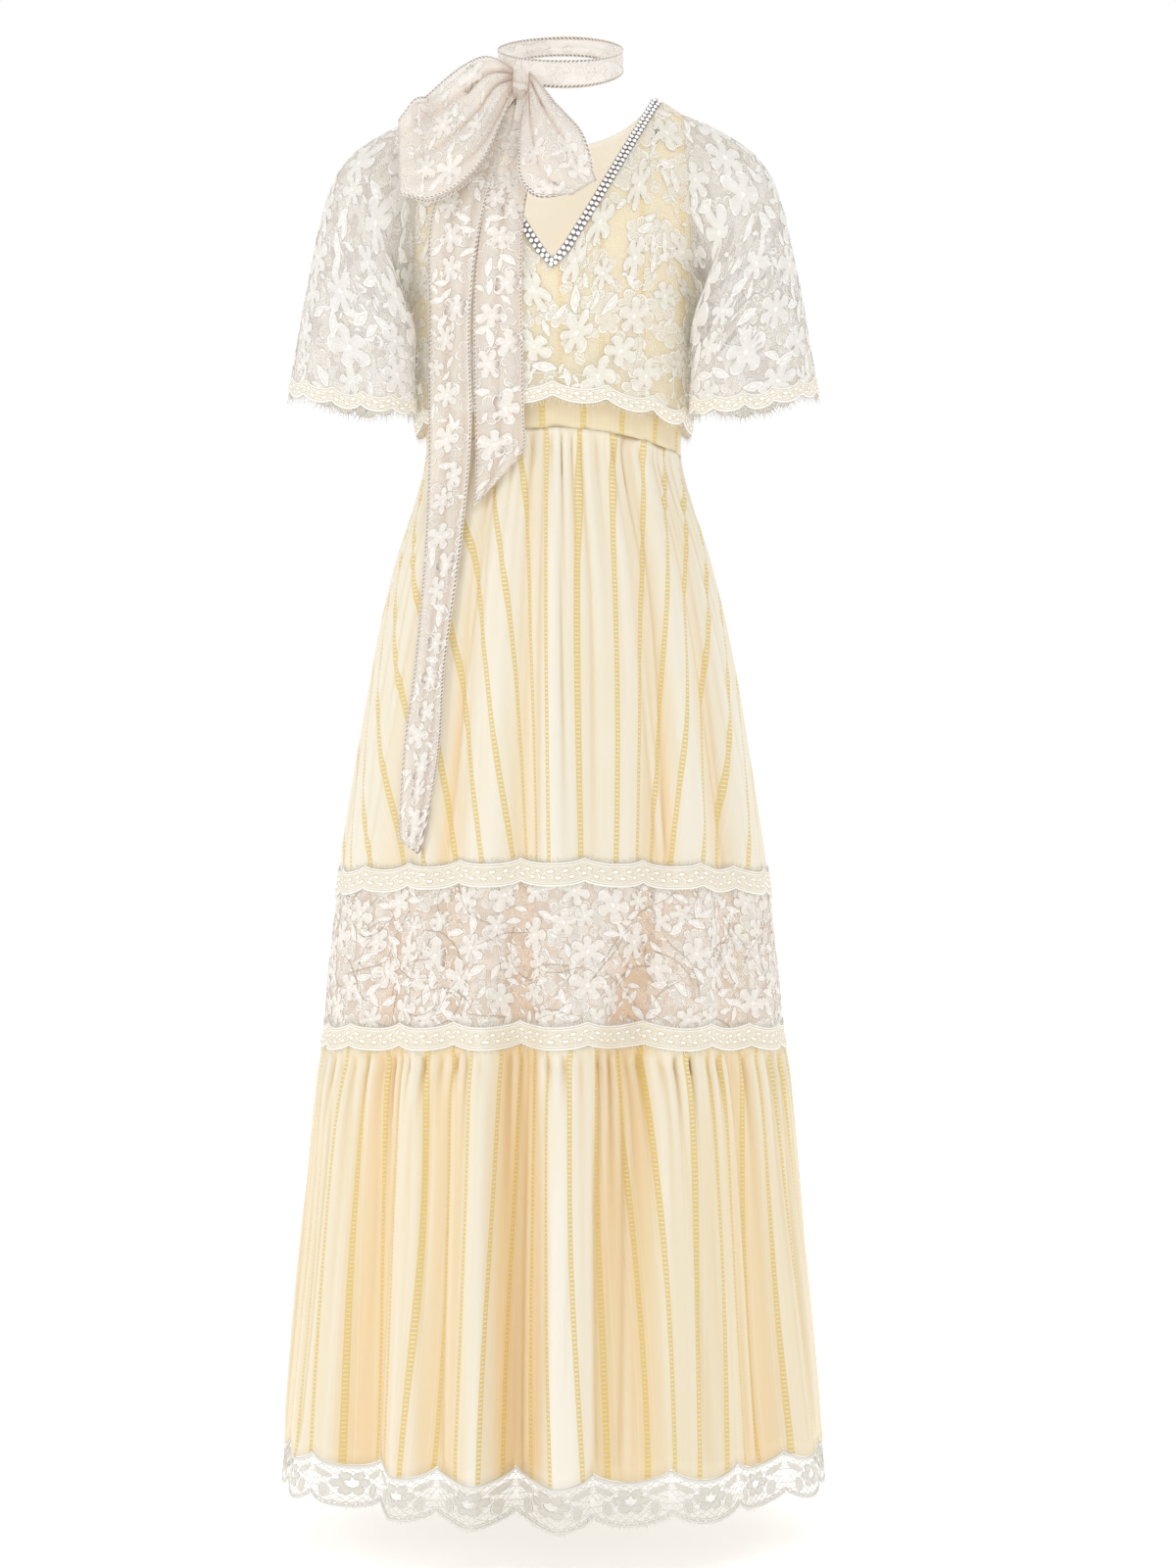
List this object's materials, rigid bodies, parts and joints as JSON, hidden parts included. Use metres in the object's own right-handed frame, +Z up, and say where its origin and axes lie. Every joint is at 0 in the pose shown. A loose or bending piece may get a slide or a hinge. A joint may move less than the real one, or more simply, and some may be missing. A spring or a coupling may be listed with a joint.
{
  "type": "maxi dress",
  "caption": "Full-length tiered dress in its hollow worn form, with a V neck, cape sleeves, lace bands and a scarf tied in a bow at the neck.",
  "frame": {"origin": "midway between the two points where the neckline meets the shoulder seams", "axes": "+Z up along the worn dress, the front faces -Y, +X to the right of a viewer in front"},
  "size_m": [0.551, 0.5073, 1.477],
  "materials": {
    "satin": "pale yellow satin with woven golden stripes, soft sheen",
    "lace": "ivory floral lace on net, matt with glossy motif threads",
    "galloon": "scalloped ivory lace edging with a fine fringe",
    "hem_lace": "open scalloped ivory lace",
    "scarf": "sheer pinkish ivory floral lace",
    "stones": "two rows of clear faceted stones in metal cups"
  },
  "bodies": {
    "root": {"bodice_front": "satin", "bodice_back": "satin", "overlay_front": "lace", "overlay_back": "lace", "sleeve_right": "lace", "sleeve_left": "lace", "neck_trim": "stones", "waistband_front": "satin", "waistband_back": "satin", "upper_skirt_front": "satin", "upper_skirt_back": "satin", "upper_trim_front": "galloon", "upper_trim_back": "galloon", "lace_band_front": "lace", "lace_band_back": "lace", "lower_trim_front": "galloon", "lower_trim_back": "galloon", "lower_skirt_front": "satin", "lower_skirt_back": "satin", "hem_lace_front": "hem_lace", "hem_lace_back": "hem_lace", "scarf_knot": "scarf", "scarf_neck_band": "scarf", "scarf_loop_left": "scarf", "scarf_loop_right": "scarf", "scarf_tail_long": "scarf", "scarf_tail_short": "scarf"}
  },
  "joints": []
}
